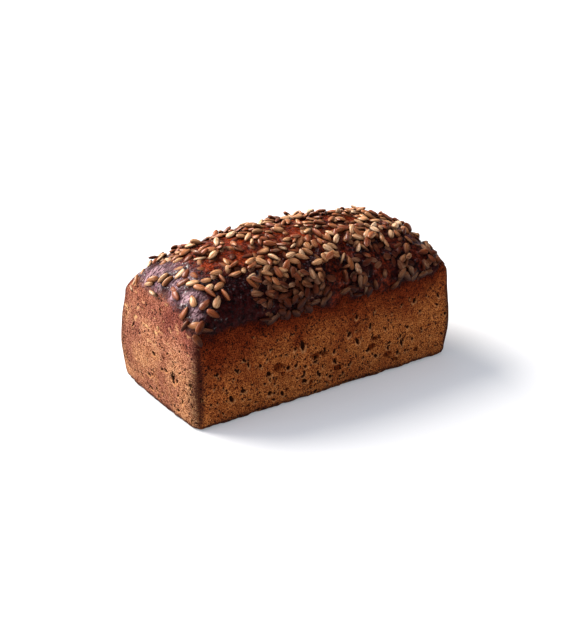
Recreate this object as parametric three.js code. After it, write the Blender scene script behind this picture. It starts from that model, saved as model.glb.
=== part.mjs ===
// A sunflower loaf: a dark tin-baked loaf with a domed, glazed crown and hulled sunflower
// kernels baked onto it. Millimetres, +Z up. The origin is the centre of the flat base, the
// loaf runs along X, and its long walls face -Y and +Y.
import * as THREE from "three";

// The loaf, sized by the baking tin that shaped its walls.
const LENGTH = 230; // between the end walls, at their upright edges and the tin's rim
const WIDTH = 109; // between the long walls, at the rim
const WALL_HEIGHT = 71; // from the base to the rim
const CROWN_RISE = 44.5; // from the rim to the top of the crown
const BASE_SPREAD = 1.6; // how far each wall stands out at the base, past the rim
const WALL_BULGE = 3.2; // how far each wall swells at half height
const END_BOW = 1.8; // how far each end wall bows out between its upright edges
const CORNER_RADIUS = 6; // the upright corners
const BASE_RADIUS = 3; // the edge round the base

// The crown is a rounded arch both ways: flat along the loaf, round across it.
const LOW_END_POWER = 3.4; // at -X; a high power keeps the top flat until close to the end
const HIGH_END_POWER = 2.6; // at +X, where the crown falls away sooner
const SIDE_POWER = 1.9;
const ARCH_POWER = 0.42;

// How finely the loaf is faceted.
const LONG_STEPS = 22; // along each long wall
const SHORT_STEPS = 10; // along each end wall
const CORNER_STEPS = 4; // round each upright corner
const CROWN_ROWS = 12;
const WALL_ROWS = 6;
const EDGE_ROWS = 2; // round the edge of the base

// The kernels, as hulled sunflower seeds measure.
const KERNELS = 59;
const KERNEL_LENGTH = [9.2, 11.2];
const KERNEL_WIDTH = [4.8, 5.9];
const KERNEL_THICKNESS = [2.3, 3.0];
const KERNEL_SIDES = 10;
const KERNEL_GAP = 0.3; // clearance between a kernel and the crust
const KERNEL_TILT = THREE.MathUtils.degToRad(12); // the steepest that one lies to the crust
const KERNEL_TRIES = 40; // places compared for each kernel, to spread them over the crown

// Where kernels were sprinkled. The -X end and the shoulder beside it were left bare.
const SPRINKLED_TO = 107; // how far along +X
const SPRINKLED_SHARE = 0.94; // share of the width
const BARE_END = -97; // the glaze is bare past this, towards -X
const BARE_SHOULDER = { past: -62, below: -38 }; // and where x and y are both under these

const CRUST = new THREE.MeshStandardMaterial({ color: 0x7a4222, roughness: 0.6, metalness: 0 });
const KERNEL = new THREE.MeshStandardMaterial({ color: 0xb58e5f, roughness: 0.55, metalness: 0 });

// A repeatable stream of numbers from 0 to 1 (mulberry32).
function randomStream(seed) {
  let state = seed;
  return () => {
    state = (state + 0x6d2b79f5) | 0;
    let mixed = Math.imul(state ^ (state >>> 15), 1 | state);
    mixed = (mixed + Math.imul(mixed ^ (mixed >>> 7), 61 | mixed)) ^ mixed;
    return ((mixed ^ (mixed >>> 14)) >>> 0) / 4294967296;
  };
}

// How far an end wall stands out between its upright edges.
function endBow(y) {
  return END_BOW * (1 - Math.min(((2 * y) / WIDTH) ** 2, 1));
}

// The height of the crown's crust over a point of the plan.
function crownHeight(x, y) {
  const endPower = x < 0 ? LOW_END_POWER : HIGH_END_POWER;
  const along = 1 - Math.pow(Math.min(Math.abs(x) / (LENGTH / 2 + endBow(y)), 1), endPower);
  const across = 1 - Math.pow(Math.min(Math.abs((2 * y) / WIDTH), 1), SIDE_POWER);
  return WALL_HEIGHT + CROWN_RISE * Math.pow(along * across, ARCH_POWER);
}

// Points round the plan: a rectangle with rounded corners, its ends bowed out.
function planRing(halfLength, halfWidth) {
  const x = halfLength - CORNER_RADIUS;
  const y = halfWidth - CORNER_RADIUS;
  const centres = [
    new THREE.Vector2(x, y),
    new THREE.Vector2(-x, y),
    new THREE.Vector2(-x, -y),
    new THREE.Vector2(x, -y),
  ];
  const ring = [];
  const addPoint = (centre, angle) => {
    const out = new THREE.Vector2(CORNER_RADIUS, 0).rotateAround(new THREE.Vector2(), angle);
    const point = out.add(centre);
    point.x += Math.sign(point.x) * endBow(point.y);
    ring.push(point);
  };
  for (let corner = 0; corner < 4; corner++) {
    for (let step = 0; step < CORNER_STEPS; step++) {
      addPoint(centres[corner], (corner + step / CORNER_STEPS) * (Math.PI / 2));
    }
    const next = centres[(corner + 1) % 4];
    const steps = corner % 2 === 0 ? LONG_STEPS : SHORT_STEPS;
    for (let step = 0; step < steps; step++) {
      addPoint(centres[corner].clone().lerp(next, step / steps), (corner + 1) * (Math.PI / 2));
    }
  }
  return ring;
}

// A ring of the walls at one height, drawn in where the base edge rounds off.
function wallRing(height, inset) {
  const share = height / WALL_HEIGHT;
  const out = BASE_SPREAD * (1 - share) + WALL_BULGE * Math.sin(Math.PI * share) - inset;
  const ring = planRing(LENGTH / 2 + out, WIDTH / 2 + out);
  return ring.map((point) => new THREE.Vector3(point.x, point.y, height));
}

// A ring of the crown: the plan drawn in towards the middle of the loaf.
function crownRing(share) {
  const ring = planRing(LENGTH / 2, WIDTH / 2);
  return ring.map((point) => {
    const x = point.x * share;
    const y = point.y * share;
    return new THREE.Vector3(x, y, crownHeight(x, y));
  });
}

// The rings of the loaf from the top of the crown down to the middle of the base.
function loafRings() {
  const rings = [];
  for (let row = 0; row < CROWN_ROWS; row++) {
    rings.push(crownRing(Math.sin((row / CROWN_ROWS) * (Math.PI / 2))));
  }
  for (let row = 0; row <= WALL_ROWS; row++) {
    rings.push(wallRing(THREE.MathUtils.lerp(WALL_HEIGHT, BASE_RADIUS, row / WALL_ROWS), 0));
  }
  for (let row = 1; row <= EDGE_ROWS; row++) {
    const angle = (row / EDGE_ROWS) * (Math.PI / 2);
    const height = BASE_RADIUS * (1 - Math.sin(angle));
    rings.push(wallRing(height, BASE_RADIUS * (1 - Math.cos(angle))));
  }
  rings.push(rings[0].map(() => new THREE.Vector3(0, 0, 0)));
  return rings;
}

// The loaf, baked as one piece: the points of a sphere moved onto the loaf's rings.
function makeLoaf() {
  const rings = loafRings();
  const around = rings[0].length;
  const geometry = new THREE.SphereGeometry(1, around, rings.length - 1);
  const position = geometry.getAttribute("position");
  for (let row = 0; row < rings.length; row++) {
    for (let column = 0; column <= around; column++) {
      const point = rings[row][column % around];
      position.setXYZ(row * (around + 1) + column, point.x, point.y, point.z);
    }
  }
  geometry.computeVertexNormals();
  const loaf = new THREE.Mesh(geometry, CRUST);
  loaf.name = "loaf";
  return loaf;
}

// A hulled kernel along its own X: a teardrop turned about its length, then flattened.
function kernelGeometry(length, width, thickness) {
  const half = length / 2;
  const outline = new THREE.SplineCurve([
    new THREE.Vector2(0, -half),
    new THREE.Vector2(0.62, -0.82 * half),
    new THREE.Vector2(0.98, -0.35 * half),
    new THREE.Vector2(0.86, 0.25 * half),
    new THREE.Vector2(0.4, 0.78 * half),
    new THREE.Vector2(0, half),
  ]);
  const profile = outline.getPoints(6);
  profile[0].x = 0;
  profile[profile.length - 1].x = 0;
  const geometry = new THREE.LatheGeometry(profile, KERNEL_SIDES);
  geometry.scale(width / 2, 1, thickness / 2);
  geometry.rotateZ(-Math.PI / 2);
  return geometry;
}

// The crust's outward direction at a point of the plan.
function crustNormal(x, y) {
  const step = 0.5;
  const slopeX = (crownHeight(x + step, y) - crownHeight(x - step, y)) / (2 * step);
  const slopeY = (crownHeight(x, y + step) - crownHeight(x, y - step)) / (2 * step);
  return new THREE.Vector3(-slopeX, -slopeY, 1).normalize();
}

// A place in the sprinkled part of the crown, its steep sides as likely as its top.
function sprinkledPlace(random) {
  let x;
  let y;
  do {
    x = THREE.MathUtils.lerp(BARE_END, SPRINKLED_TO, random());
    y = (Math.sin((random() - 0.5) * Math.PI) * WIDTH * SPRINKLED_SHARE) / 2;
  } while (x < BARE_SHOULDER.past && y < BARE_SHOULDER.below);
  return new THREE.Vector3(x, y, crownHeight(x, y));
}

// Of several places, the one furthest from the kernels that are already down.
function nextPlace(random, taken) {
  let best = null;
  let bestGap = -1;
  for (let attempt = 0; attempt < KERNEL_TRIES; attempt++) {
    const place = sprinkledPlace(random);
    const gap = Math.min(Infinity, ...taken.map((other) => other.distanceTo(place)));
    if (gap > bestGap) {
      best = place;
      bestGap = gap;
    }
  }
  return best;
}

// One kernel lying on the crust, turned to its own heading and tipped a little.
function makeKernel(number, place, random) {
  const between = (range) => THREE.MathUtils.lerp(range[0], range[1], random());
  const length = between(KERNEL_LENGTH);
  const thickness = between(KERNEL_THICKNESS);
  const geometry = kernelGeometry(length, between(KERNEL_WIDTH), thickness);
  const mesh = new THREE.Mesh(geometry, KERNEL);
  mesh.name = "kernel_" + String(number).padStart(2, "0");

  const up = crustNormal(place.x, place.y);
  const tilt = (random() * 2 - 1) * KERNEL_TILT;
  const lie = new THREE.Quaternion().setFromUnitVectors(new THREE.Vector3(0, 0, 1), up);
  const turn = new THREE.Quaternion().setFromAxisAngle(up, random() * Math.PI * 2);
  const tip = new THREE.Quaternion().setFromAxisAngle(new THREE.Vector3(0, 1, 0), tilt);
  mesh.quaternion.copy(turn).multiply(lie).multiply(tip);

  const lowPoint = Math.hypot((Math.sin(tilt) * length) / 2, (Math.cos(tilt) * thickness) / 2);
  mesh.position.copy(place).addScaledVector(up, lowPoint + KERNEL_GAP);
  return mesh;
}

const sunflowerLoaf = new THREE.Group();
sunflowerLoaf.add(makeLoaf());
const random = randomStream(20);
const places = [];
for (let number = 1; number <= KERNELS; number++) {
  const place = nextPlace(random, places);
  places.push(place);
  sunflowerLoaf.add(makeKernel(number, place, random));
}

export default sunflowerLoaf;
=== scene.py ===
# A sunflower loaf: a dark tin-baked loaf with a glazed, domed crown and hulled sunflower
# kernels baked onto it. Metres, +Z up, the origin at the centre of the loaf's base.
import math

import bmesh
import bpy
import numpy as np
from mathutils import Matrix, Vector, kdtree, noise


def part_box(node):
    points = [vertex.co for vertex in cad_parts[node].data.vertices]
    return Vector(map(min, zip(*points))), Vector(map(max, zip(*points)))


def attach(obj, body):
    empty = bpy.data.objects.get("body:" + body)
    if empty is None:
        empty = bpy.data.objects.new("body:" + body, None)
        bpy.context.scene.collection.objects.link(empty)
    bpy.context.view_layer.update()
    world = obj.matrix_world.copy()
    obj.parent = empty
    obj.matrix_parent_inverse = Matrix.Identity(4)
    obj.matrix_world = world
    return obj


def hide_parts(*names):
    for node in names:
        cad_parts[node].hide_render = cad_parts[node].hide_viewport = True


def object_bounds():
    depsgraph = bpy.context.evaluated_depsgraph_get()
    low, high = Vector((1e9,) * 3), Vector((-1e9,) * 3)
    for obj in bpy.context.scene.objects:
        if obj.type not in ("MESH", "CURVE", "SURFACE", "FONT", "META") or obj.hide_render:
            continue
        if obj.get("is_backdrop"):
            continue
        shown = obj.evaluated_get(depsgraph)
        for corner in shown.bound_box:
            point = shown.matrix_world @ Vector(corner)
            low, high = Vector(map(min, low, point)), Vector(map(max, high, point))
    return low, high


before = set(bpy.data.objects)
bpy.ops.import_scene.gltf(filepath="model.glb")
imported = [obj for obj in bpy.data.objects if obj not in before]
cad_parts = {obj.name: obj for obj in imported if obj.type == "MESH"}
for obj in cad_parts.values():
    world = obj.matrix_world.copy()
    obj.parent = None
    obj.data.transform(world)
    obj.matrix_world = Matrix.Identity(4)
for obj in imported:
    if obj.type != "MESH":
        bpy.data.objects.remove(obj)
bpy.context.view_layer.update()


# ----------------------------------------------------------
# The loaf's form: one piece of dark dough that rose and baked in a long tin. The tin gave it
# flat walls and a flat base, and above the rim the dough rose free into a long dome. Its walls
# swell a little at half height and its upright edges are the tin's rounded corners.
rim_half_length = 0.115
rim_half_width = 0.0545
wall_height = 0.071
crown_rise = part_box("loaf")[1].z - wall_height
wall_swell = 0.0032
base_spread = 0.0016
end_bow = 0.0018
corner_radius = 0.006
base_radius = 0.003
low_end_power = 3.4
high_end_power = 2.6
side_power = 1.9
arch_power = 0.42

MM = 0.001


def ease(low, high, value):
    """0 below low, 1 above high, and a smooth step between them."""
    share = np.clip((value - low) / (high - low), 0, 1)
    return share * share * (3 - 2 * share)


def lumps(points, size, seed=0.0):
    """Smooth random lumps from about -1 to 1, each about as wide as size."""
    shift = Vector((seed, 1.7 * seed, -seed))
    return np.array([noise.noise(Vector(point) / size + shift) for point in points])


def plan(u, v, half_length, half_width):
    """The place at shares u and v of a rectangle with rounded corners and bowed ends."""
    x = np.abs(u) * half_length
    y = np.abs(v) * half_width
    past_x = np.clip((x - half_length + corner_radius) / corner_radius, 0, 1)
    past_y = np.clip((y - half_width + corner_radius) / corner_radius, 0, 1)
    x = np.minimum(x, half_length - corner_radius)
    x = x + corner_radius * past_x * np.sqrt(1 - past_y**2 / 2)
    y = np.minimum(y, half_width - corner_radius)
    y = y + corner_radius * past_y * np.sqrt(1 - past_x**2 / 2)
    x = x + np.abs(u) * end_bow * (1 - np.minimum(y / rim_half_width, 1) ** 2)
    return np.sign(u) * x, np.sign(v) * y


def crown_share(u, v):
    """How high the dome stands at shares u and v of the plan, from 0 at the rim to 1."""
    end_power = np.where(np.asarray(u) < 0, low_end_power, high_end_power)
    along = np.clip(1 - np.abs(u) ** end_power, 0, 1)
    across = np.clip(1 - np.abs(v) ** side_power, 0, 1)
    return (along * across) ** arch_power


def crown_point(u, v):
    x, y = plan(u, v, rim_half_length, rim_half_width)
    return np.stack([x, y, wall_height + crown_rise * crown_share(u, v)], -1)


def wall_point(u, v, height, inset=0.0):
    share = height / wall_height
    out = base_spread * (1 - share) + wall_swell * math.sin(math.pi * share) - inset
    x, y = plan(u, v, rim_half_length + out, rim_half_width + out)
    return np.stack([x, y, np.full(np.shape(x), height)], -1)


def even_shares(arch, half, count):
    """Shares from -1 to 1 that step evenly along an arch of the dome, and the arch's length."""
    fine = np.sin(np.linspace(-math.pi / 2, math.pi / 2, 4001))
    steps = np.hypot(np.diff(fine * half), np.diff(crown_rise * arch(fine)))
    length = np.concatenate([[0], np.cumsum(steps)])
    shares = np.interp(np.linspace(0, length[-1], count + 1), length, fine)
    return shares, length[-1]


def long_arch(share):
    return crown_share(share, 0)


def cross_arch(share):
    return crown_share(0, share)


# A grid over the crown, rows down the four walls from its edge, and a flat base: a ring
# round a single face.
columns, rows, wall_rows, edge_rows = 210, 140, 36, 3
shares_x, crown_length = even_shares(long_arch, rim_half_length, columns)
shares_y, crown_width = even_shares(cross_arch, rim_half_width, rows)
grid_u, grid_v = np.meshgrid(shares_x, shares_y, indexing="ij")
count = grid_u.size
top = np.arange(count).reshape(grid_u.shape)
rim_i = np.concatenate(
    [np.arange(columns), np.full(rows, columns), np.arange(columns, 0, -1), np.zeros(rows, int)]
)
rim_j = np.concatenate(
    [np.zeros(columns, int), np.arange(rows), np.full(columns, rows), np.arange(rows, 0, -1)]
)
rim_u, rim_v = shares_x[rim_i], shares_y[rim_j]
around = len(rim_i)
heights = [(height, 0.0) for height in np.linspace(wall_height, base_radius, wall_rows + 1)]
for step in range(1, edge_rows):
    angle = step / edge_rows * math.pi / 2
    heights.append((base_radius * (1 - math.sin(angle)), base_radius * (1 - math.cos(angle))))
heights += [(0.0, base_radius), (0.0, base_radius + 9 * MM)]
points = [crown_point(grid_u, grid_v).reshape(-1, 3)]
rings = [top[rim_i, rim_j]]
for height, inset in heights[1:]:
    points.append(wall_point(rim_u, rim_v, height, inset))
    rings.append(np.arange(count, count + around))
    count += around
points = np.concatenate(points)

# Each patch has its own place on the unwrapped sheet: the crown, four walls and the base.
CROWN_SHEET = (0.005, 0.005, 0.995, 0.425)
WALL_SHEETS = [
    (0.005, 0.435, 0.995, 0.615),
    (0.005, 0.815, 0.395, 0.995),
    (0.005, 0.625, 0.995, 0.805),
    (0.405, 0.815, 0.795, 0.995),
]
BASE_SHEET = (0.805, 0.815, 0.995, 0.995)


def on_sheet(sheet, across, up):
    left, low, right, high = sheet
    return np.stack([left + across * (right - left), low + up * (high - low)], -1)


def corners(grid):
    """The four corners of each cell of a grid, anticlockwise."""
    cells = [grid[:-1, :-1], grid[1:, :-1], grid[1:, 1:], grid[:-1, 1:]]
    return np.stack([cell.reshape(-1, *grid.shape[2:]) for cell in cells], 1)


share_i, share_j = np.meshgrid(
    np.linspace(0, 1, columns + 1), np.linspace(0, 1, rows + 1), indexing="ij"
)
faces = [corners(top)]
sheets = [corners(on_sheet(CROWN_SHEET, share_i, share_j))]
rings = np.array(rings)
wall_starts = np.cumsum([0, columns, rows, columns, rows])
for side, sheet in enumerate(WALL_SHEETS):
    span = np.arange(wall_starts[side], wall_starts[side + 1] + 1)
    strip = rings[:, span % around]
    down, along = np.meshgrid(
        np.linspace(1, 0, len(rings)), np.linspace(0, 1, len(span)), indexing="ij"
    )
    faces.append(corners(strip))
    sheets.append(corners(on_sheet(sheet, along, down)))
faces = np.concatenate(faces).tolist() + [rings[-1][::-1].tolist()]
base_sheet = on_sheet(BASE_SHEET, rim_u / 2 + 0.5, rim_v / 2 + 0.5)[::-1]
sheets = np.concatenate([np.concatenate(sheets).ravel(), base_sheet.ravel()])

loaf_mesh = bpy.data.meshes.new("loaf_crust")
loaf_mesh.from_pydata(points.tolist(), [], faces)
loaf_mesh.uv_layers.new(name="OFBake").uv.foreach_set("vector", sheets)


def add_object(name, data):
    """Put a mesh, a light or the camera in the scene."""
    made = bpy.data.objects.new(name, data)
    bpy.context.scene.collection.objects.link(made)
    return made


loaf_crust = add_object("loaf_crust", loaf_mesh)


# ----------------------------------------------------------
# The pores of the walls: gas bubbles in the dough that opened against the hot tin. They are
# small holes, a few drawn out or run together, thick in the lower two thirds of a wall.
pore_dice = np.random.default_rng(11)
PORES_LONG, PORES_END = 180, 75
CLUSTERS_LONG, CLUSTERS_END = 9, 3
CLUSTER_SPREAD = 1.3 * MM
LOWEST_PORE = 2.5 * MM
pores = []


def on_wall(side, along, height):
    """A place on a wall and the level direction along it. Side 0 is at -Y, then 1 at +X."""
    u, v = [(along, -1.0), (1.0, along), (-along, 1.0), (-1.0, -along)][side]
    level = [(1, 0), (0, 1), (-1, 0), (0, -1)][side]
    return wall_point(np.array(u), np.array(v), height), level


def add_pore(side, along, height, radius):
    """Keep a pore unless it falls by the base or round a corner."""
    if height < LOWEST_PORE or abs(along) > 0.97:
        return
    stretch = 1 + pore_dice.exponential(0.6)
    turn = pore_dice.normal(math.pi / 2, 0.7)
    pores.append((*on_wall(side, along, height), radius, min(stretch, 2.4), turn))


for side in range(4):
    long_wall = side % 2 == 0
    half_wall = rim_half_length if long_wall else rim_half_width
    for _ in range(PORES_LONG if long_wall else PORES_END):
        height = wall_height * pore_dice.beta(1.5, 2.2) * 0.98
        usual = 0.78 if long_wall else 0.60
        radius = float(np.clip(pore_dice.lognormal(math.log(usual), 0.40), 0.40, 1.9)) * MM
        add_pore(side, pore_dice.uniform(-0.96, 0.96), height, radius)
    for _ in range(CLUSTERS_LONG if long_wall else CLUSTERS_END):
        along, height = pore_dice.uniform(-0.9, 0.9), wall_height * pore_dice.uniform(0.1, 0.6)
        for _ in range(pore_dice.integers(3, 7)):
            beside = pore_dice.normal(0, CLUSTER_SPREAD) / half_wall
            above = pore_dice.normal(0, CLUSTER_SPREAD)
            add_pore(side, along + beside, height + above, pore_dice.uniform(0.5, 1.3) * MM)

# Wide ragged dents, where a crumb of dough stuck to the tin and tore away: at random on every
# wall, and some of them larger on the long wall at -Y.
DENT_SEED = 20
# by side of the loaf: how many, and the greatest half length in millimetres
DENTS_BY_SIDE = {1: (3, 4.8), 2: (11, 4.8), 3: (2, 4.8), 0: (12, 6.0)}
dents = []
for side, (number, longest) in DENTS_BY_SIDE.items():
    dent_dice = np.random.default_rng(DENT_SEED + side)
    for _ in range(number):
        along = dent_dice.uniform(-0.85, 0.85)
        height = wall_height * dent_dice.uniform(0.14, 0.70)
        half_long = dent_dice.uniform(1.8, longest) * MM
        half_high = half_long * dent_dice.uniform(0.5, 1.1)
        dents.append((*on_wall(side, along, height), half_long, half_high))


def searchable(numbered_places):
    """A tree that finds what lies near a point, from pairs of a number and a place."""
    numbered_places = list(numbered_places)
    found_near = kdtree.KDTree(len(numbered_places))
    for index, place in numbered_places:
        found_near.insert(place, index)
    found_near.balance()
    return found_near


def nearby(places, centre, reach):
    return [found[1] for found in places.find_range(centre, reach)]


def vertex_places(mesh):
    places = np.empty(len(mesh.vertices) * 3)
    mesh.vertices.foreach_get("co", places)
    return places.reshape(-1, 3)


# The mesh is made finer round each pore and dent, then these are pressed in.
work = bmesh.new()
work.from_mesh(loaf_mesh)
by_rim = [vert for vert in work.verts if abs(vert.co.z - wall_height) < 8 * MM]
for _ in range(6):
    bmesh.ops.smooth_vert(
        work, verts=by_rim, factor=0.5, use_axis_x=True, use_axis_y=True, use_axis_z=True
    )
work.faces.ensure_lookup_table()
face_places = searchable((face.index, face.calc_center_median()) for face in work.faces)
near_pores = set()
for centre, _, radius, stretch, _ in pores:
    near_pores.update(nearby(face_places, centre, radius * stretch + 0.9 * MM))
for centre, _, half_long, half_high in dents:
    near_pores.update(nearby(face_places, centre, max(half_long, half_high) + 1.2 * MM))
edges = {edge for index in near_pores for edge in work.faces[index].edges}
bmesh.ops.subdivide_edges(work, edges=list(edges), cuts=2, use_grid_fill=True)
bmesh.ops.recalc_face_normals(work, faces=work.faces)
work.to_mesh(loaf_mesh)
work.free()

points = vertex_places(loaf_mesh)
size = len(points)
outward = np.array([normal.vector for normal in loaf_mesh.vertex_normals])

# How far each point stands above the wavy line where the glaze ends: the glaze ran down to
# the rim on the long walls, and stopped short of it at the ends, where matte crust shows.
end_part = ease(0.099, 0.113, np.abs(points[:, 0]))
end_part = end_part * (1 - 0.85 * ease(0.022, 0.048, -points[:, 1] * np.sign(-points[:, 0])))
glaze_line = wall_height + 1.5 * MM + 11.5 * MM * end_part
wander = 2.4 * MM * lumps(points, 0.020, 3.0) + 1.2 * MM * lumps(points, 0.007, 5.0)
over_line = points[:, 2] - glaze_line - wander
crowned = ease(-1.0 * MM, 3.0 * MM, over_line)

# The lumps of the crust, gentle on the walls and stronger on the crown, most of all where
# glaze pooled on the shoulders, and a ragged edge round the base, where dough crept under.
shoulder = crowned * (1 - ease(0.086, 0.104, points[:, 2]))
press = 0.7 * MM * lumps(points, 0.045, 1.0)
press += 0.30 * MM * lumps(points, 0.014, 2.0)
press += (0.10 + 0.22 * crowned + 0.40 * shoulder) * MM * lumps(points, 0.0055, 4.0)
press += 0.11 * MM * crowned * lumps(points, 0.0026, 5.0)
press += 0.5 * MM * shoulder * lumps(points, 0.0095, 6.0)
rim_lip = np.exp(-(((points[:, 2] - wall_height) / (11 * MM)) ** 2))
press += 2.4 * MM * rim_lip * ease(0.095, 0.113, points[:, 0])
near_base = 1 - ease(1.0 * MM, 9.0 * MM, points[:, 2])
press += near_base * MM * (0.9 * lumps(points, 0.009, 7.0) + 0.5 * lumps(points, 0.004, 8.0))

pore_depth = np.zeros(size)
pore_mask = np.zeros(size)
pore_lip_and_highlight = np.zeros(size)
point_places = searchable(enumerate(points))
for centre, level, radius, stretch, turn in pores:
    near = nearby(point_places, centre, radius * stretch * 1.9)
    if not near:
        continue
    offset = points[near] - centre
    across = offset[:, 0] * level[0] + offset[:, 1] * level[1]
    above = offset[:, 2]
    along = across * math.cos(turn) + above * math.sin(turn)
    beside = -across * math.sin(turn) + above * math.cos(turn)
    reach = np.hypot(along / (radius * stretch), beside / radius)
    reach = reach * (1 + 0.25 * lumps(points[near], 1.3 * MM, 9.0))
    hole = 1 - ease(0.45, 1.15, reach)
    pore_depth[near] = np.maximum(pore_depth[near], hole * (0.5 * MM + 1.1 * radius))
    pore_mask[near] = np.maximum(pore_mask[near], 1 - ease(0.6, 1.2, reach))
    # The lower lip of each pore, raised a little and given a painted highlight, as if light from
    # above caught it.
    lip = ease(0.95, 1.25, reach) * (1 - ease(1.25, 1.8, reach)) * ease(0.0, 0.7, -above / radius)
    pore_lip_and_highlight[near] = np.maximum(pore_lip_and_highlight[near], lip)
pore_lip_and_highlight *= 1 - pore_mask
press += 0.15 * MM * pore_lip_and_highlight - pore_depth

dent_mask = np.zeros(size)
for centre, level, half_long, half_high in dents:
    near = nearby(point_places, centre, max(half_long, half_high) * 1.6)
    offset = points[near] - centre
    across = offset[:, 0] * level[0] + offset[:, 1] * level[1]
    reach = np.hypot(across / half_long, offset[:, 2] / half_high)
    torn = 0.40 * lumps(points[near], 2.4 * MM, 11.0)
    reach = reach + torn + 0.2 * lumps(points[near], 1.1 * MM, 15.0)
    dent_mask[near] = np.maximum(dent_mask[near], 1 - ease(0.62, 1.0, reach))
press -= dent_mask * (1.2 + 0.5 * lumps(points, 2.0 * MM, 13.0)) * MM

on_base = (points[:, 2] < 0.02 * MM) & (outward[:, 2] < -0.9)
press[on_base] = 0
shaped = points + outward * press[:, None]
lift = near_base * np.clip(0.9 * MM * lumps(points, 0.011, 12.0), 0, 1)
shaped[~on_base, 2] += lift[~on_base]
shaped[:, 2] = np.maximum(shaped[:, 2], 0)


# ----------------------------------------------------------
# The kernels' places: hulled sunflower kernels were sprinkled over the wet crown and lie as
# they fell, flat, overlapping or on edge. Those in the frame come first, then each of the
# others drops onto what already lies there. The -X end and the shoulder by it stayed nearly
# bare, with only single kernels.
sprinkle_dice = np.random.default_rng(4)
KERNELS_SPRINKLED = 1000
SINK = 1.5 * MM  # how deep a kernel is pressed into the glaze
FRAME_GAP = 0.3 * MM  # how clear of the loaf the frame's kernels stand
TRIES = 5
SHARE_ON_EDGE, SHARE_BROKEN = 0.12, 0.05
bare_end = -0.097
bare_shoulder_past, bare_shoulder_below = -0.062, -0.036
# where the glaze lay thin and few kernels stayed: place in the plan and radius
THIN_PATCHES = [
    (-0.049, 0.003, 0.009),
    (-0.056, -0.022, 0.009),
    (-0.003, -0.014, 0.009),
    (-0.082, -0.016, 0.006),
    (0.036, 0.026, 0.008),
    (0.058, -0.006, 0.006),
    (-0.020, 0.036, 0.007),
]
# where the glaze pooled thick over the dough and few kernels stayed
POOLED_PATCHES = [
    (0.010, -0.051, 0.012),
    (0.026, -0.040, 0.009),
    (0.052, -0.050, 0.012),
    (0.073, -0.036, 0.010),
    (0.090, -0.046, 0.009),
    (0.097, -0.028, 0.007),
]
# single kernels that fell on the bare end and shoulder, by loose zones: the middle and the
# reach of each in the plan in millimetres, how many lie there and the share that is on edge
STRAY_ZONES = [
    (-110, 5, 5, 10, 5, 0.8),
    (-105, -25, 10, 20, 9, 0.1),
    (-105, -50, 10, 5, 5, 0.3),
    (-90, -35, 10, 10, 5, 0.3),
]
STRAY_SEED = 8
STRAY_SIZE = (10.6 * MM, 5.6 * MM, 3.0 * MM)
STRAY_SPACING = 6.5

field_step = 0.5 * MM
field_x, _ = even_shares(long_arch, rim_half_length, int(crown_length / field_step))
field_y, _ = even_shares(cross_arch, rim_half_width, int(crown_width / field_step))
field_u, field_v = np.meshgrid(field_x, field_y, indexing="ij")
field = crown_point(field_u, field_v)
slope_x = np.gradient(field, axis=0)
slope_y = np.gradient(field, axis=1)
field_normal = np.cross(slope_x, slope_y)
field_normal /= np.linalg.norm(field_normal, axis=-1, keepdims=True)
piled = np.full(field_u.shape, -SINK)  # how high what lies on the crust stands over it


def patch_share(patches, x, y):
    """1 in the middle of the nearest patch, falling to 0 round it."""
    share = np.zeros(np.shape(x))
    for patch_x, patch_y, radius in patches:
        reach = np.hypot(x - patch_x, y - patch_y) / radius
        share = np.maximum(share, 1 - ease(0.45, 1.35, reach))
    return share


def sprinkled(x, y, z):
    """The chance that a kernel stayed where it fell."""
    if x < bare_shoulder_past and y < bare_shoulder_below:
        return 0.0
    end = 0.03 + 0.42 * float(ease(bare_end, bare_end + 0.006, x))
    end += 0.55 * float(ease(-0.062, -0.034, x - 0.25 * y))
    patch = noise.noise(Vector((x, y, 0.5)) / 0.020)
    patchy = 0.40 + 0.60 * float(ease(-0.40, 0.0, patch))
    patchy *= 1 - 0.93 * float(patch_share(THIN_PATCHES, x, y))
    patchy *= 1 - 0.85 * float(patch_share(POOLED_PATCHES, x, y))
    clump = float(ease(-0.066, -0.060, x) * (1 - ease(-0.006, 0.002, x)))
    far_end = float(ease(0.092, 0.110, x))
    start = wall_height + (0.2 - 1.5 * clump + 5 * far_end) * MM
    low = float(ease(start, start + (4 - 2 * clump + 5 * far_end) * MM, z))
    return end * patchy * low


kernels = []  # each is (centre, axes as columns, length, width, thickness, shape)


def window(i, j):
    """The cells round a cell of the crown that a kernel may reach."""
    return slice(max(i - 24, 0), i + 25), slice(max(j - 28, 0), j + 29)


def lay(centre, axes, length, width, thickness, i, j):
    """Raise the pile where a kernel lies."""
    part = window(i, j)
    offset = field[part] - centre
    a = offset @ axes[:, 0] / (length / 2)
    b = offset @ axes[:, 1] / (width / 2)
    inside = 1 - a * a - b * b
    topside = -(offset @ axes[:, 2]) + thickness / 2 * np.sqrt(np.clip(inside, 0, 1))
    piled[part] = np.where(inside > 0, np.maximum(piled[part], topside), piled[part])


def nearest_cell(point):
    return np.unravel_index(np.argmin(((field - point) ** 2).sum(-1)), field_u.shape)


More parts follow.
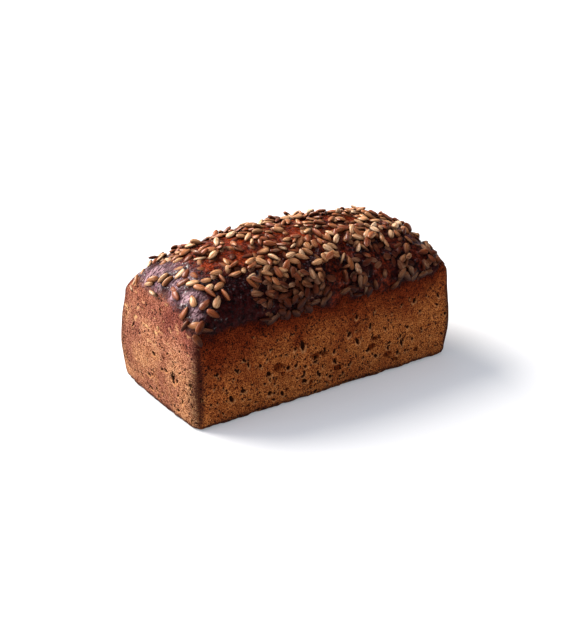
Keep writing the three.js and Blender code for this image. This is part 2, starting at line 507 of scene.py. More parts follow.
# The kernels that the frame holds, each with its own place, heading and size.
frame_kernels = sorted(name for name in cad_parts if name.startswith("kernel_"))
for name in frame_kernels:
    co = np.unique(vertex_places(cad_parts[name].data).round(7), axis=0)
    middle = co.mean(0)
    axes = np.linalg.svd(co - middle, full_matrices=False)[2].T
    i, j = nearest_cell(middle)
    if axes[:, 2] @ field_normal[i, j] < 0:
        axes[:, 2] *= -1
    local = (co - middle) @ axes
    spread = np.hypot(local[:, 1], local[:, 2])
    if spread[local[:, 0] > 0].mean() > spread[local[:, 0] < 0].mean():
        axes[:, 0] *= -1
    axes[:, 1] = np.cross(axes[:, 2], axes[:, 0])
    local = (co - middle) @ axes
    low, high = local.min(0), local.max(0)
    centre = middle + axes @ ((low + high) / 2)
    length, width, thickness = high - low
    centre = centre - axes[:, 2] * (FRAME_GAP + SINK)
    kernels.append((centre, axes, length, width, thickness, int(sprinkle_dice.integers(0, 5))))
    lay(centre, axes, length, width, thickness, i, j)


def drop(length, width, thickness, on_edge, i, j, heading, tip_shift, proud=0.0):
    """How a kernel comes to rest over a cell of the crown: how high, and lying how."""
    place, up = field[i, j], field_normal[i, j]
    first = slope_x[i, j] / np.linalg.norm(slope_x[i, j])
    second = np.cross(up, first)
    along = first * math.cos(heading) + second * math.sin(heading)
    beside = np.cross(up, along)
    part = window(i, j)
    offset = field[part] - place
    a = offset @ along
    b = offset @ beside
    level = offset @ up + piled[part]
    wide, deep = (thickness, width) if on_edge else (width, thickness)
    inside = 1 - (2 * a / length) ** 2 - (2 * b / wide) ** 2
    under = inside > 0.02
    a, b, level, inside = a[under], b[under], level[under], inside[under]
    if len(a) < 12:
        return None
    fit = np.linalg.lstsq(np.stack([a, b, np.ones_like(a)], -1), level, rcond=None)[0]
    by_rim = 1 - float(ease(wall_height + 5 * MM, wall_height + 16 * MM, place[2]))
    steepest = 0.50 - 0.40 * by_rim
    tip = np.clip(fit[:2] * 0.8 + tip_shift, -steepest, steepest)
    bulge = deep / 2 * np.sqrt(inside)
    rest = float(np.percentile(level - tip[0] * a - tip[1] * b + bulge, 78))
    rest += proud if proud else -0.8 * MM * by_rim
    if not proud and rest - deep / 2 > (3.4 - 2.6 * by_rim) * MM:
        return None
    return rest - deep / 2, place + up * rest, along + up * tip[0], beside + up * tip[1]


def settle(found, length, width, thickness, on_edge, shape, i, j):
    """Keep a kernel where it came to rest."""
    _, centre, along, beside = found
    along = along / np.linalg.norm(along)
    beside = beside - along * (beside @ along)
    beside = beside / np.linalg.norm(beside)
    normal = np.cross(along, beside)
    wide, deep = (thickness, width) if on_edge else (width, thickness)
    lay(centre, np.stack([along, beside, normal], -1), length, wide, deep, i, j)
    if on_edge:
        beside, normal = -normal, beside
    axes = np.stack([along, beside, normal], -1)
    kernels.append((centre, axes, length, width, thickness, shape))


stray_dice = np.random.default_rng(STRAY_SEED)
stray_places = []
for middle_x, middle_y, reach_x, reach_y, number, edge_share in STRAY_ZONES:
    for _ in range(number):
        for _ in range(40):  # until it is clear of the others
            x = middle_x + reach_x * stray_dice.uniform(-1, 1)
            y = middle_y + reach_y * stray_dice.uniform(-1, 1)
            if all(math.dist((x, y), place) > STRAY_SPACING for place in stray_places):
                break
        stray_places.append((x, y))
        heading = stray_dice.uniform(0, 2 * math.pi)
        on_edge = stray_dice.random() < edge_share
        proud = 1.2 * MM if y > -50 else 0.3 * MM
        away = np.hypot(field[..., 0] - x * MM, field[..., 1] - y * MM)
        i, j = np.unravel_index(np.argmin(away), field_u.shape)
        found = drop(*STRAY_SIZE, on_edge, i, j, heading, np.zeros(2), proud)
        if found is not None:
            settle(found, *STRAY_SIZE, on_edge, len(kernels) % 5, i, j)

single_kernels = len(kernels)
while len(kernels) < single_kernels + KERNELS_SPRINKLED:
    length = float(np.clip(sprinkle_dice.normal(9.4, 1.0), 7.4, 11.6)) * MM
    width = float(np.clip(sprinkle_dice.normal(5.0, 0.55), 3.8, 6.2)) * MM
    thickness = float(np.clip(sprinkle_dice.normal(2.8, 0.3), 2.2, 3.5)) * MM
    shape = int(sprinkle_dice.integers(0, 5))
    on_edge = sprinkle_dice.random() < SHARE_ON_EDGE
    if sprinkle_dice.random() < SHARE_BROKEN:
        shape = 5
        length *= 0.6
    best = None
    for _ in range(TRIES):
        i = int(sprinkle_dice.integers(2, field_u.shape[0] - 2))
        j = int(sprinkle_dice.integers(2, field_u.shape[1] - 2))
        if sprinkle_dice.random() > sprinkled(*field[i, j]):
            continue
        tip_shift = sprinkle_dice.normal(0, 0.12, 2)
        heading = sprinkle_dice.uniform(0, 2 * math.pi)
        found = drop(length, width, thickness, on_edge, i, j, heading, tip_shift)
        if found is None:
            continue
        score = found[0] + 1.0 * MM * sprinkle_dice.random()
        if best is None or score < best[0]:
            best = (score, found, i, j)
    if best is not None:
        settle(best[1], length, width, thickness, on_edge, shape, *best[2:])

# The wet glaze drew up round each kernel that touches the crust.
crown_near = np.flatnonzero(points[:, 2] > wall_height - 4 * MM)
crown_places = searchable((int(index), points[index]) for index in crown_near)
drawn_up = np.zeros(size)
for centre, axes, length, width, thickness, shape in kernels:
    near = nearby(crown_places, centre, length / 2 + 2.5 * MM)
    if not near:
        continue
    offset = points[near] - centre
    a = offset @ axes[:, 0] / (length / 2)
    b = offset @ axes[:, 1] / (width / 2)
    outside = (np.hypot(a, b) - 1) * width / 2
    depth = -(offset @ axes[:, 2]).max()
    touching = 1 - ease(1.6 * MM, 3.2 * MM, depth)
    rise = 0.6 * MM * touching * np.exp(-np.clip(outside, 0, None) / (1.1 * MM))
    drawn_up[near] = np.maximum(drawn_up[near], rise)
shaped += outward * drawn_up[:, None]

loaf_mesh.vertices.foreach_set("co", shaped.ravel())
end_wall = ease(0.35, 0.85, np.abs(outward[:, 0]))
from_corner = np.maximum(
    rim_half_length - np.abs(points[:, 0]), rim_half_width - np.abs(points[:, 1])
)
edge_reach = (8 + 9 * end_wall) * MM
edge = (1.0 - 0.35 * end_wall) * (1 - ease(-1 * MM, edge_reach, from_corner))
edge = np.maximum(edge, 1 - ease(-3.5 * MM, 1.5 * MM, from_corner))
edge = np.maximum(edge, 0.95 * (1 - ease(1 * MM, 8 * MM, points[:, 2])))
from_wall = np.minimum(
    rim_half_length - np.abs(points[:, 0]), rim_half_width - np.abs(points[:, 1])
)
edge *= 1 - on_base * ease(2 * MM, 9 * MM, from_wall)
thin = patch_share(THIN_PATCHES, points[:, 0], points[:, 1]) * ease(0.092, 0.104, points[:, 2])
thin = np.maximum(thin, 0.55 * ease(0.096, 0.112, points[:, 2]))
thin = np.maximum(thin, 0.42 * patch_share(POOLED_PATCHES, points[:, 0], points[:, 1]))
shine = crowned * ease(0.05, 0.40, outward[:, 2])
# The shoulders facing the ends take a lavender tone: partly a dry bloom on the glaze, partly a
# painted sheen where the glaze would mirror a bright light.
bloom = crowned * ease(0.22, 0.62, np.abs(outward[:, 0]))
bloom *= ease(0.080, 0.098, np.abs(points[:, 0]))
bloom *= 0.95 * ease(-0.45, 0.25, lumps(points, 0.010, 14.0))


def store(mesh, name, values, kind="FLOAT", key="value"):
    """Keep one value for each vertex as a named attribute."""
    mesh.attributes.new(name, kind, "POINT").data.foreach_set(key, values)


tones = [
    ("bloom", bloom),
    ("shine", shine),
    ("over_line", over_line / MM),
    ("pore", pore_mask),
    ("lip", pore_lip_and_highlight),
    ("dent", dent_mask),
    ("edge", edge),
    ("thin", thin),
    ("end_wall", end_wall),
    # pale: where the walls take the paler end tone; the darker -Y wall is partly painted shade
    ("pale", np.maximum(end_wall, 0.65 * ease(0.3, 0.8, outward[:, 1]))),
]
for name, values in tones:
    store(loaf_mesh, name, values)
for polygon in loaf_mesh.polygons:
    polygon.use_smooth = True
loaf_mesh.update()


# ----------------------------------------------------------
# The crust: matte, grainy and golden brown on the walls, redder and darker up towards the
# rim, nearly black where glaze pooled and baked on the crown, and orange where it lies thin.
def colour(red, green, blue):
    """A colour given as screen values from 0 to 255, made linear."""
    values = [value / 255 for value in (red, green, blue)]
    return *[v / 12.92 if v <= 0.04045 else ((v + 0.055) / 1.055) ** 2.4 for v in values], 1.0


def new_material(name):
    material = bpy.data.materials.new(name)
    material.use_nodes = True
    tree = material.node_tree
    return material, tree, tree.nodes["Principled BSDF"]


def fill(tree, made, inputs):
    """Link or set the inputs of a node."""
    for key, value in inputs.items():
        if isinstance(value, bpy.types.NodeSocket):
            tree.links.new(value, made.inputs[key])
        else:
            made.inputs[key].default_value = value


def node(tree, kind, inputs=None, **settings):
    """Add a node, with its settings and the links or values of its inputs."""
    made = tree.nodes.new(kind)
    for key, value in settings.items():
        setattr(made, key, value)
    fill(tree, made, inputs or {})
    return made


def noise_node(tree, vector, scale, detail=2.0, roughness=0.5):
    settings = {"Vector": vector, "Scale": scale, "Detail": detail, "Roughness": roughness}
    return node(tree, "ShaderNodeTexNoise", settings).outputs["Fac"]


def scaled(tree, vector, scale):
    return node(tree, "ShaderNodeMapping", {"Vector": vector, "Scale": scale}).outputs[0]


def step_node(tree, value, low, high, out_low=0.0, out_high=1.0):
    inputs = {"Value": value, "From Min": low, "From Max": high}
    inputs.update({"To Min": out_low, "To Max": out_high})
    made = node(tree, "ShaderNodeMapRange", inputs, interpolation_type="SMOOTHSTEP")
    return made.outputs["Result"]


def mix_node(tree, factor, first, second, blend="MIX"):
    inputs = {0: factor, 6: first, 7: second}
    return node(tree, "ShaderNodeMix", inputs, data_type="RGBA", blend_type=blend).outputs[2]


def float_mix(tree, factor, first, second):
    inputs = {0: factor, 2: first, 3: second}
    return node(tree, "ShaderNodeMix", inputs, data_type="FLOAT").outputs[0]


def tinted(tree, factor, base, tint):
    """A colour, mixed by a factor with itself multiplied by a tint."""
    return mix_node(tree, factor, base, mix_node(tree, 1.0, base, tint, "MULTIPLY"))


def math_node(tree, operation, *values):
    inputs = dict(enumerate(values))
    return node(tree, "ShaderNodeMath", inputs, operation=operation).outputs[0]


def times(tree, first, second):
    return math_node(tree, "MULTIPLY", first, second)


def times_plus(tree, first, second, added):
    return math_node(tree, "MULTIPLY_ADD", first, second, added)


def attribute_node(tree, name, output="Fac"):
    return node(tree, "ShaderNodeAttribute", attribute_name=name).outputs[output]


def add_sockets(group, way, kinds):
    """Give a node group its named inputs or outputs."""
    for name, kind in kinds.items():
        group.interface.new_socket(name, in_out=way, socket_type="NodeSocket" + kind)


# A mottle shared by the crust and the kernels: two tones mixed by a fine uneven grain.
mottle_group = bpy.data.node_groups.new("Baked Mottle", "ShaderNodeTree")
grain_settings = {"Vector": "Vector", "Scale": "Float", "Softness": "Float"}
add_sockets(mottle_group, "INPUT", {**grain_settings, "Light": "Color", "Dark": "Color"})
add_sockets(mottle_group, "OUTPUT", {"Color": "Color", "Height": "Float"})
given = node(mottle_group, "NodeGroupInput").outputs
grains = noise_node(mottle_group, given["Vector"], given["Scale"], 3.0, 0.62)
from_low = math_node(mottle_group, "SUBTRACT", 0.5, given["Softness"])
to_high = math_node(mottle_group, "ADD", 0.5, given["Softness"])
share = step_node(mottle_group, grains, from_low, to_high)
toned = mix_node(mottle_group, share, given["Dark"], given["Light"])
node(mottle_group, "NodeGroupOutput", {"Color": toned, "Height": grains})


def mottle(tree, vector, scale, softness, light, dark):
    inputs = {"Vector": vector, "Scale": scale, "Softness": softness, "Light": light, "Dark": dark}
    made = node(tree, "ShaderNodeGroup", inputs, node_tree=mottle_group)
    return made.outputs["Color"], made.outputs["Height"]


crust, tree, shader = new_material("baked_crust")
place = node(tree, "ShaderNodeTexCoord").outputs["Object"]
axes_of_place = node(tree, "ShaderNodeSeparateXYZ", {"Vector": place}).outputs
over = attribute_node(tree, "over_line")
pore = attribute_node(tree, "pore")
edge_tone = attribute_node(tree, "edge")
thin_glaze = attribute_node(tree, "thin")
end_wall_share = attribute_node(tree, "end_wall")
blotch = noise_node(tree, place, 42.0, 3.0, 0.55)

# the walls: golden crumbs over darker dough, redder towards the rim and dark at the edges
long_tone, grain = mottle(tree, place, 1150.0, 0.10, colour(222, 136, 72), colour(82, 29, 8))
end_tone, _ = mottle(tree, place, 1050.0, 0.10, colour(216, 160, 114), colour(98, 48, 28))
# The long walls keep a darker, redder tone than the ends: partly a darker bake, partly painted shade
# on the -Y wall, which stands in shade; the +Y wall takes the paler end tone in part.
wall = mix_node(tree, attribute_node(tree, "pale"), long_tone, end_tone)
soft = noise_node(tree, place, 260.0)
soft = step_node(tree, soft, 0.34, 0.62, 0.55, 0.0)
wall = tinted(tree, soft, wall, (0.60, 0.44, 0.32, 1))
aslant = times_plus(tree, axes_of_place["X"], -0.6, blotch)
patches = step_node(tree, aslant, 0.42, 0.66, 0.0, 0.7)
half_at_end = step_node(tree, end_wall_share, 0.0, 1.0, 1.0, 0.5)
patches = times(tree, patches, half_at_end)
wall = tinted(tree, patches, wall, (0.74, 0.58, 0.56, 1))
high = times_plus(tree, blotch, 0.040, axes_of_place["Z"])
high = times_plus(tree, axes_of_place["X"], -0.06, high)
high = step_node(tree, high, 0.050, 0.088)
rim_tint = mix_node(tree, end_wall_share, (0.42, 0.23, 0.20, 1), (0.90, 0.83, 0.96, 1))
wall = tinted(tree, high, wall, rim_tint)
rough_edge = times_plus(tree, blotch, 0.5, edge_tone)
uneven_grain = math_node(tree, "SUBTRACT", grain, 0.5)
rough_edge = times_plus(tree, uneven_grain, -1.1, rough_edge)
darkened = step_node(tree, rough_edge, 0.42, 1.15, 0.0, 0.88)
wall = mix_node(tree, darkened, wall, colour(50, 19, 16))
purple = node(tree, "ShaderNodeMapping", {"Vector": place, "Location": (0.03, 0.0, 0.02)}).outputs[0]
purple = step_node(tree, noise_node(tree, purple, 27.0), 0.41, 0.60, 0.0, 0.95)
purple = times(tree, purple, end_wall_share)
wall = tinted(tree, purple, wall, (0.66, 0.52, 0.62, 1))

# small pits everywhere on the walls, and the opened pores, darkened inside with painted shade, and a
# painted highlight on the lower lip of each pore
pit_cells = node(tree, "ShaderNodeTexVoronoi", {"Vector": place, "Scale": 420.0, "Randomness": 1.0})
pit_size = node(tree, "ShaderNodeSeparateColor", {"Color": pit_cells.outputs["Color"]}).outputs["Red"]
pit_size = step_node(tree, pit_size, 0.45, 1.0, 0.0, 0.42)
pit = math_node(tree, "SUBTRACT", pit_size, pit_cells.outputs["Distance"])
pit = step_node(tree, pit, -0.04, 0.06)
# painted shade in the pits
wall = mix_node(tree, times(tree, pit, 0.9), wall, colour(34, 14, 8))
# a painted highlight on the lower lip of each pore
painted_lip_highlight = times(tree, attribute_node(tree, "lip"), 0.55)
wall = mix_node(tree, painted_lip_highlight, wall, colour(222, 158, 104))
# painted shade inside the opened pores
wall = mix_node(tree, step_node(tree, pore, 0.15, 0.75, 0.0, 0.95), wall, colour(36, 15, 7))
# painted shade inside the dents
wall = tinted(tree, attribute_node(tree, "dent"), wall, (0.36, 0.22, 0.16, 1))
flakes = scaled(tree, place, (1.0, 1.0, 2.6))
flakes = noise_node(tree, flakes, 120.0)
flake_share = times(tree, step_node(tree, flakes, 0.60, 0.70), end_wall_share)
by_height = step_node(tree, axes_of_place["Z"], 0.040, 0.066, 0.1, 0.7)
flake_share = times(tree, flake_share, by_height)
wall = mix_node(tree, flake_share, wall, colour(216, 170, 116))

# the glaze: nearly black, orange-red where it lies thin, and lavender on the end shoulders, partly
# painted sheen
dark_glaze, lumpy = mottle(tree, place, 300.0, 0.18, colour(54, 11, 10), colour(12, 2, 3))
orange_glaze, fine_lumps = mottle(tree, place, 560.0, 0.20, colour(152, 56, 20), colour(66, 14, 6))
thinness = times_plus(tree, lumpy, 1.1, thin_glaze)
glaze = mix_node(tree, step_node(tree, thinness, 0.72, 1.35), dark_glaze, orange_glaze)
downhill = scaled(tree, place, (0.7, 1.4, 0.7))
# the lavender shoulders: a dusky bloom with lighter streaks of painted sheen
bloom_and_sheen_tone, _ = mottle(tree, downhill, 420.0, 0.13, colour(190, 150, 156), colour(58, 24, 32))
waves = step_node(tree, noise_node(tree, downhill, 110.0), 0.36, 0.62, 0.85, 0.0)
bloom_and_sheen_tone = tinted(tree, waves, bloom_and_sheen_tone, (0.36, 0.24, 0.30, 1))
glaze = mix_node(tree, attribute_node(tree, "bloom"), glaze, bloom_and_sheen_tone)
uneven = noise_node(tree, place, 75.0, 3.0, 0.6)
line = times_plus(tree, grain, 6.0, times_plus(tree, uneven, 20.0, over))
line = math_node(tree, "SUBTRACT", line, 10.0)
line = times(tree, line, half_at_end)
glazed = step_node(tree, line, 0.6, 5.4)
bleed = step_node(tree, times_plus(tree, end_wall_share, 5.0, line), -8.0, 3.0, 0.0, 0.85)
bleed_tint = mix_node(tree, end_wall_share, (0.42, 0.26, 0.28, 1), (0.74, 0.58, 0.64, 1))
wall = tinted(tree, bleed, wall, bleed_tint)
fill(tree, shader, {"Base Color": mix_node(tree, glazed, wall, glaze)})

rough = times_plus(tree, grain, 0.2, 0.78)
gloss = times_plus(tree, lumpy, 0.30, 0.06)
fill(tree, shader, {"Roughness": float_mix(tree, glazed, rough, gloss)})
shining = attribute_node(tree, "shine")
glossy = times(tree, shining, step_node(tree, fine_lumps, 0.54, 0.64, 0.02, 0.90))
less_on_bloom_and_sheen = step_node(tree, attribute_node(tree, "bloom"), 0.0, 1.0, 1.0, 0.35)
glossy = times(tree, glossy, less_on_bloom_and_sheen)
fill(tree, shader, {"Specular IOR Level": 0.04, "Coat Weight": glossy, "Coat Roughness": 0.13})

crumb_height = math_node(tree, "SUBTRACT", grain, times(tree, pit, 0.9))
crumb_height = times(tree, crumb_height, 0.6)
glaze_height = times_plus(tree, fine_lumps, 0.8, times(tree, lumpy, 1.2))
height = float_mix(tree, glazed, crumb_height, glaze_height)
bump = node(tree, "ShaderNodeBump", {"Height": height, "Strength": 0.9, "Distance": 0.0013})
fill(tree, shader, {"Normal": bump.outputs["Normal"]})
loaf_mesh.materials.append(crust)

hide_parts("loaf")
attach(loaf_crust, "root")


# ----------------------------------------------------------
# The kernels: hulled sunflower seeds, flat teardrops with a blunt end, a pointed tip and a
# thin rim. They toasted in the oven from cream to brown. Glaze stained those lying low in it,
# and painted shade darkens them further there and on each kernel's underside.
kernel_finish, tree, shader = new_material("toasted_kernel")
form = attribute_node(tree, "form", "Vector")
toast = attribute_node(tree, "toast")
stain = attribute_node(tree, "stain")
# each kernel reads another part of the pattern
apart = node(tree, "ShaderNodeCombineXYZ", {"X": times(tree, toast, 91.0)}).outputs[0]
own_place = node(tree, "ShaderNodeVectorMath", {0: form, 1: apart}, operation="ADD").outputs[0]
stretched = scaled(tree, own_place, (1.2, 7.0, 3.0))
ramp = node(tree, "ShaderNodeValToRGB", {"Fac": toast})
tones = [
    (0.0, (248, 214, 174)),
    (0.25, (228, 178, 128)),
    (0.5, (198, 136, 87)),
    (0.78, (172, 93, 51)),
    (1.0, (108, 53, 30)),
]
while len(ramp.color_ramp.elements) < len(tones):
    ramp.color_ramp.elements.new(0.5)
for element, (position, tone) in zip(ramp.color_ramp.elements, tones):
    element.position = position
    element.color = colour(*tone)
browned = mix_node(tree, 1.0, ramp.outputs["Color"], (0.52, 0.34, 0.22, 1), "MULTIPLY")
seed, streak = mottle(tree, stretched, 1.3, 0.16, ramp.outputs["Color"], browned)
form_axes = node(tree, "ShaderNodeSeparateXYZ", {"Vector": form}).outputs
from_ridge = math_node(tree, "ABSOLUTE", form_axes["Y"])
tip_toast = step_node(tree, form_axes["X"], 0.22, 0.5, 0.0, 0.5)
seed = mix_node(tree, tip_toast, seed, colour(120, 62, 32))
parched = step_node(tree, noise_node(tree, own_place, 2.3, 1.0), 0.54, 0.68, 0.0, 0.5)
seed = mix_node(tree, parched, seed, colour(172, 94, 50))
rim = step_node(tree, from_ridge, 0.30, 0.46, 0.0, 0.26)
seed = mix_node(tree, rim, seed, colour(220, 178, 138))
# glaze stain and painted shade on kernels lying low
seed = tinted(tree, stain, seed, (0.20, 0.11, 0.10, 1))
# painted shade on the side of each kernel that turns away from above
under = times(tree, attribute_node(tree, "under"), 0.92)
seed = mix_node(tree, under, seed, colour(38, 11, 5))
rough = times_plus(tree, streak, 0.3, 0.34)
fill(tree, shader, {"Base Color": seed, "Roughness": rough, "Specular IOR Level": 0.10})
polish = math_node(tree, "MAXIMUM", stain, under)
polish = step_node(tree, polish, 0.0, 0.5, 0.48, 0.02)
fill(tree, shader, {"Coat Weight": polish, "Coat Roughness": 0.2})
bump = node(tree, "ShaderNodeBump", {"Height": streak, "Strength": 0.5, "Distance": 0.0005})
fill(tree, shader, {"Normal": bump.outputs["Normal"]})


def kernel_form(name, sides, steps, dice, taper=0.3, dish=0.0, bend=0.0, broken=False):
    """One kernel, 1 long, 1 wide and 1 thick, with its tip at +X."""
    shares = (1 - np.cos(np.linspace(0, math.pi, steps + 1)[1:-1])) / 2
    turns = np.arange(sides) * 2 * math.pi / sides
    from_middle = 2 * shares - 1
    outline = (1 - from_middle**2) ** 0.52 * (1 - taper * from_middle)
    if broken:
        shares = np.linspace(0.04, 0.86, steps - 1)
        outline = np.minimum(1, 1.35 * np.sin(math.pi * 0.62 * shares**0.7 + 0.25))
    x = shares - 0.5
    y = outline[:, None] * np.cos(turns) / 2
    lens = np.sin(turns)
    z = outline[:, None] ** 0.7 * lens / 2
    z = z * (1 - dish * np.abs(np.sin(turns)) ** 6)
    x = np.repeat(x[:, None], sides, 1) + dice.normal(0, 0.008, z.shape)
    y = y + dice.normal(0, 0.014, z.shape) + bend * (x**2 - 0.08)
    z = z + dice.normal(0, 0.02, z.shape)
    blunt_end = [[-0.5, bend * 0.17, 0.0]]
    tip_end = [[0.5 if not broken else 0.40, bend * 0.17, 0.0]]
    co = np.concatenate([np.stack([x, y, z], -1).reshape(-1, 3), blunt_end, tip_end])
    co[:, 0] -= (co[:, 0].max() + co[:, 0].min()) / 2
    co /= co.max(0) - co.min(0)
    body = []
    last = len(co) - 1
    where = []
    for side in range(sides):
        after = (side + 1) % sides
        low, high = side / sides, (side + 1) / sides
        for step in range(steps - 2):
            this, upper = step * sides, (step + 1) * sides
            body.append((this + side, this + after, upper + after, upper + side))
            near, far = (step + 1) / steps, (step + 2) / steps
            where += [(near, low), (near, high), (far, high), (far, low)]
        body.append((last - 1, after, side))
        where += [(0, (low + high) / 2), (1 / steps, high), (1 / steps, low)]
        top_ring = (steps - 2) * sides
        body.append((last, top_ring + side, top_ring + after))
        where += [(1, (low + high) / 2), (1 - 1 / steps, low), (1 - 1 / steps, high)]
    mesh = bpy.data.meshes.new(name)
    mesh.from_pydata(co.tolist(), [], body)
    mesh.uv_layers.new(name="OFBake").uv.foreach_set("vector", np.array(where).ravel())
    store(mesh, "form", co.ravel(), "FLOAT_VECTOR", "vector")
    for polygon in mesh.polygons:
        polygon.use_smooth = True
    check = bmesh.new()
    check.from_mesh(mesh)
    bmesh.ops.recalc_face_normals(check, faces=check.faces)
    check.to_mesh(mesh)
    check.free()
    return mesh


# taper to the tip, dish of the faces, bend, and whether half of it broke away
KERNEL_SHAPES = [
    (0.20, 0.00, 0.00, False),
    (0.30, 0.12, 0.10, False),
    (0.14, 0.05, -0.12, False),
    (0.22, 0.14, 0.00, False),
    (0.34, 0.00, 0.05, False),
    (0.26, 0.10, 0.00, True),
]


def crust_height(x, y):
    """How high the smooth crust of the crown is over a place in the plan."""
    reach = rim_half_length + end_bow * (1 - np.minimum(np.abs(y) / rim_half_width, 1) ** 2)
    u, v = np.clip(x / reach, -1, 1), np.clip(y / rim_half_width, -1, 1)
    return wall_height + crown_rise * crown_share(u, v)


def stain_and_shade_kernels(mesh):
    """Darken what lies low in the glaze, partly a glaze stain and partly painted shade, most of all
    on the shoulders; also keep the painted shade of each kernel's underside.
    """
    co = vertex_places(mesh)
    step = 0.4 * MM
    over = co[:, 2] - crust_height(co[:, 0], co[:, 1])
    rise_x = crust_height(co[:, 0] + step, co[:, 1]) - crust_height(co[:, 0] - step, co[:, 1])
    rise_y = crust_height(co[:, 0], co[:, 1] + step) - crust_height(co[:, 0], co[:, 1] - step)
    up = np.stack([-rise_x, -rise_y, np.full(len(co), 2 * step)], -1)
    up /= np.linalg.norm(up, axis=-1, keepdims=True)
    over = over * up[:, 2]
    normals = np.array([normal.vector for normal in mesh.vertex_normals])
    # painted shade where a kernel's surface turns away from the crown's up direction
    under = 1 - ease(-0.24, 0.60, (normals * up).sum(-1))
    store(mesh, "under", under)
    # kernels low on the crown and on its sides get more stain and painted shade
    low = 1 - ease(wall_height + 6 * MM, wall_height + 30 * MM, co[:, 2])
    by_side = 1 - ease(wall_height + 12 * MM, wall_height + 41 * MM, co[:, 2])
    low = np.maximum(low, by_side * ease(0.014, 0.034, np.abs(co[:, 1])))
    at_end = ease(0.080, 0.096, -co[:, 0]) * ease(-0.057, -0.048, co[:, 1])
    low *= 1 - 0.85 * at_end
    pooled = ease(-0.02, 0.03, co[:, 0]) * low
    # glaze stain and painted contact shade where a kernel lies close over the crust
    values = 1 - ease(0.6 * MM, (2.5 + 1.0 * low) * MM, over)
    values = np.clip(values * 0.95 + 0.90 * low - 0.14 * pooled, 0, 0.94)
    values *= 1 - 0.45 * at_end
    store(mesh, "stain", values)


# The kernels that the frame holds, each a piece of its own.
toast_dice = np.random.default_rng(31)
for name, (centre, axes, length, width, thickness, shape) in zip(frame_kernels, kernels):
    baked_name = name.replace("kernel", "baked_kernel")
    mesh = kernel_form(baked_name, 12, 10, toast_dice, *KERNEL_SHAPES[shape])
    place = Matrix(np.column_stack([axes * [length, width, thickness], centre]).tolist())
    place.resize_4x4()
    mesh.transform(place)
    store(mesh, "toast", np.full(len(mesh.vertices), toast_dice.random()))
    stain_and_shade_kernels(mesh)
    mesh.materials.append(kernel_finish)
    piece = add_object(mesh.name, mesh)
    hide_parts(name)
    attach(piece, "root")

# The others: a Geometry Nodes tree puts one of the shapes at each place and realizes it.
shape_dice = np.random.default_rng(8)
shapes = bpy.data.collections.new("kernel_shapes")
for number, settings in enumerate(KERNEL_SHAPES):
    mesh = kernel_form("kernel_shape_%d" % number, 8, 7, shape_dice, *settings)
    shapes.objects.link(bpy.data.objects.new(mesh.name, mesh))

sprinkle = bpy.data.node_groups.new("Sprinkle Kernels", "GeometryNodeTree")
shape_settings = {"Geometry": "Geometry", "Shapes": "Collection", "Kernel Scale": "Float"}
add_sockets(sprinkle, "INPUT", {**shape_settings, "Toast Seed": "Int", "Finish": "Material"})
add_sockets(sprinkle, "OUTPUT", {"Geometry": "Geometry"})
given = node(sprinkle, "NodeGroupInput").outputs


def named(kind, name):
    made = node(sprinkle, "GeometryNodeInputNamedAttribute", {"Name": name}, data_type=kind)
    return made.outputs["Attribute"]


def kept(before, name, value):
    """Keep one value for each kernel as a named attribute."""
    inputs = {"Geometry": before.outputs[0], "Name": name, "Value": value}
    settings = {"data_type": "FLOAT", "domain": "INSTANCE"}
    return node(sprinkle, "GeometryNodeStoreNamedAttribute", inputs, **settings)


picking = {"Collection": given["Shapes"], "Separate Children": True, "Reset Children": True}
picked = node(sprinkle, "GeometryNodeCollectionInfo", picking)
sizing = {0: named("FLOAT_VECTOR", "size"), "Scale": given["Kernel Scale"]}
sized = node(sprinkle, "ShaderNodeVectorMath", sizing, operation="SCALE")
placing = {
    "Points": given["Geometry"],
    "Instance": picked.outputs[0],
    "Pick Instance": True,
    "Instance Index": named("INT", "shape"),
    "Rotation": named("FLOAT_VECTOR", "turn"),
    "Scale": sized.outputs[0],
}
placed = node(sprinkle, "GeometryNodeInstanceOnPoints", placing)
toasting = node(sprinkle, "FunctionNodeRandomValue", {"Seed": given["Toast Seed"]}, data_type="FLOAT")
toasted = kept(placed, "toast", toasting.outputs[1])
numbering = node(sprinkle, "GeometryNodeInputIndex")
numbered = kept(toasted, "number", numbering.outputs[0])
real = node(sprinkle, "GeometryNodeRealizeInstances", {"Geometry": numbered.outputs[0]})
covering = {"Geometry": real.outputs[0], "Material": given["Finish"]}
finished = node(sprinkle, "GeometryNodeSetMaterial", covering)
node(sprinkle, "NodeGroupOutput", {"Geometry": finished.outputs[0]})

fallen = kernels[len(frame_kernels):]
places = bpy.data.meshes.new("kernel_places")
places.from_pydata([kernel[0].tolist() for kernel in fallen], [], [])
turns = [Matrix(kernel[1].tolist()).to_euler() for kernel in fallen]
sizes = [kernel[2:5] for kernel in fallen]
store(places, "turn", np.ravel(turns), "FLOAT_VECTOR", "vector")
store(places, "size", np.ravel(sizes), "FLOAT_VECTOR", "vector")
store(places, "shape", [kernel[5] for kernel in fallen], "INT")
sprinkled_kernels = add_object("sprinkled_kernels", places)
modifier = sprinkled_kernels.modifiers.new("Sprinkle Kernels", "NODES")
modifier.node_group = sprinkle
chosen = {"Shapes": shapes, "Kernel Scale": 1.0, "Toast Seed": 1, "Finish": kernel_finish}
for item in sprinkle.interface.items_tree:
    if item.in_out == "INPUT" and item.name in chosen:
        modifier[item.identifier] = chosen[item.name]
graph = bpy.context.evaluated_depsgraph_get()
sprinkled_mesh = bpy.data.meshes.new_from_object(
    sprinkled_kernels.evaluated_get(graph), preserve_all_data_layers=True, depsgraph=graph
)
sprinkled_kernels.modifiers.clear()
sprinkled_kernels.data = sprinkled_mesh

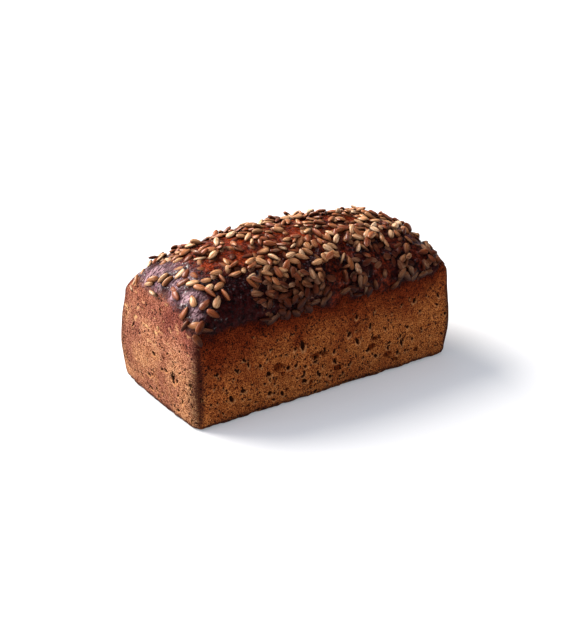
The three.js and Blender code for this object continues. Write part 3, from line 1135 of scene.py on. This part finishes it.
# Each kernel gets its own cell of the unwrapped sheet.
numbers = np.empty(len(sprinkled_mesh.vertices))
sprinkled_mesh.attributes["number"].data.foreach_get("value", numbers)
cells = math.ceil(math.sqrt(len(fallen)))
loops = np.empty(len(sprinkled_mesh.loops), int)
sprinkled_mesh.loops.foreach_get("vertex_index", loops)
sheet = np.empty(len(loops) * 2)
sprinkled_mesh.uv_layers["OFBake"].uv.foreach_get("vector", sheet)
sheet = sheet.reshape(-1, 2)
cell = numbers[loops]
corner = np.stack([cell % cells, cell // cells], -1)
sheet = (corner + 0.05 + 0.9 * sheet) / cells
sprinkled_mesh.uv_layers["OFBake"].uv.foreach_set("vector", sheet.ravel())
stain_and_shade_kernels(sprinkled_mesh)
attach(sprinkled_kernels, "root")


# ----------------------------------------------------------
# The studio: a pale floor that runs out to white, a broad warm light from the upper left and
# a cool, even light from all round.
bpy.context.scene.view_settings.view_transform = "Standard"
floor_mesh = bpy.data.meshes.new("floor")
floor_corners = [(-12, -12, 0), (12, -12, 0), (12, 12, 0), (-12, 12, 0)]
floor_mesh.from_pydata(floor_corners, [], [(0, 1, 2, 3)])
floor_finish, tree, shader = new_material("pale_floor")
pale = {"Base Color": (0.64, 0.64, 0.64, 1), "Roughness": 0.9, "Specular IOR Level": 0.0}
fill(tree, shader, {**pale, "Emission Color": (0.90, 0.95, 1.0, 1), "Emission Strength": 0.28})
floor_mesh.materials.append(floor_finish)
floor = add_object("floor", floor_mesh)
floor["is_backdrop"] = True

world = bpy.data.worlds.new("studio")
world.use_nodes = True
bpy.context.scene.world = world
tree = world.node_tree
looking = node(tree, "ShaderNodeTexCoord").outputs["Generated"]


def toward(direction, low, high):
    """1 looking along a direction, falling to 0 away from it."""
    length = math.sqrt(sum(part * part for part in direction))
    unit = [part / length for part in direction]
    dot = node(tree, "ShaderNodeVectorMath", {0: looking, 1: unit}, operation="DOT_PRODUCT")
    return step_node(tree, dot.outputs["Value"], low, high)


BLACK = (0, 0, 0, 1)
lit_side = toward((-0.62, 0.45, 0.40), -0.5, 0.7)
air = mix_node(tree, lit_side, (0.11, 0.11, 0.12, 1), (0.38, 0.42, 0.48, 1))
by_side = toward((-0.72, 0.46, 0.52), 0.74, 0.95)
side_window = mix_node(tree, by_side, BLACK, (1.8, 1.9, 2.15, 1))
overhead = toward((0.45, -0.20, 0.86), 0.94, 0.98)
top_window = mix_node(tree, overhead, BLACK, (1.2, 1.0, 1.1, 1))
windows = mix_node(tree, 1.0, side_window, top_window, "ADD")
light_round = mix_node(tree, 1.0, air, windows, "ADD")
seen = node(tree, "ShaderNodeLightPath").outputs["Is Camera Ray"]
sky = mix_node(tree, seen, light_round, (0.92, 0.94, 0.96, 1))
fill(tree, tree.nodes["Background"], {"Color": sky, "Strength": 1.0})


def aim_back(thing, direction):
    """Turn a light or camera so that its back points along a direction."""
    thing.rotation_mode = "QUATERNION"
    thing.rotation_quaternion = Vector(direction).to_track_quat("Z", "Y")


key = bpy.data.lights.new("key", "SUN")
key.energy = 6.4
key.angle = math.radians(42)
key.color = (1.0, 0.94, 0.86)
aim_back(add_object("key", key), (-0.38, 0.70, 0.60))

# The camera looks down onto the near corner.
camera_data = bpy.data.cameras.new("camera")
camera_data.lens = 74.3
camera_data.sensor_width = 36
camera_data.clip_start = 0.01
camera = add_object("camera", camera_data)
camera.location = (-0.5239, -0.7714, 0.4632)
aim_back(camera, (-0.510, -0.755, 0.411))
bpy.context.scene.camera = camera

low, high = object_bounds()
